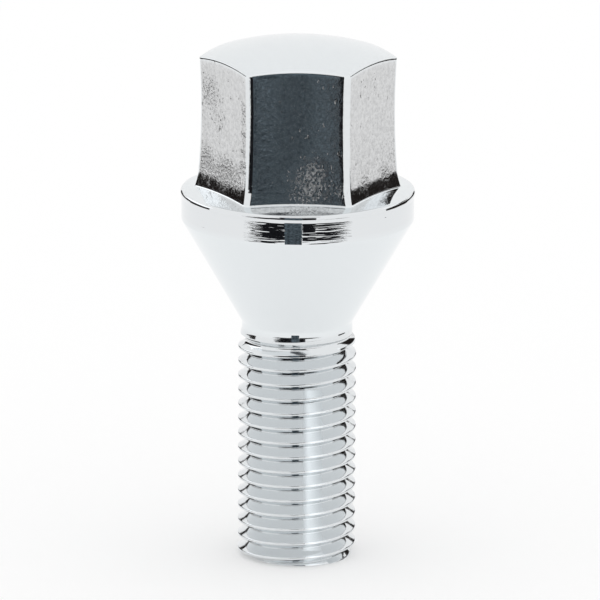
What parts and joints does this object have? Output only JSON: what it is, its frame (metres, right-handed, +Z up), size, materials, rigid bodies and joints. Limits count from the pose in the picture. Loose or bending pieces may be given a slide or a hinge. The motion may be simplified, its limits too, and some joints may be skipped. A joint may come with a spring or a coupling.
{
  "type": "conical-seat lug bolt",
  "caption": "One-piece chrome lug bolt: domed hexagon head, collar with a banded rim, conical seat, neck and fine metric thread.",
  "frame": {"origin": "centre of the flat end of the thread, on which the bolt stands", "axes": "+Z up the bolt's axis from the thread end to the crown; a flat of the hexagon faces -Y and two of its corners lie on the X axis"},
  "size_m": [0.0234, 0.0234, 0.053],
  "materials": {
    "chrome_plate": "bright chrome plate over forged steel, with slight orange peel and fine pits on the hexagon"
  },
  "bodies": {
    "root": {"lug_bolt": "chrome_plate"}
  },
  "joints": []
}
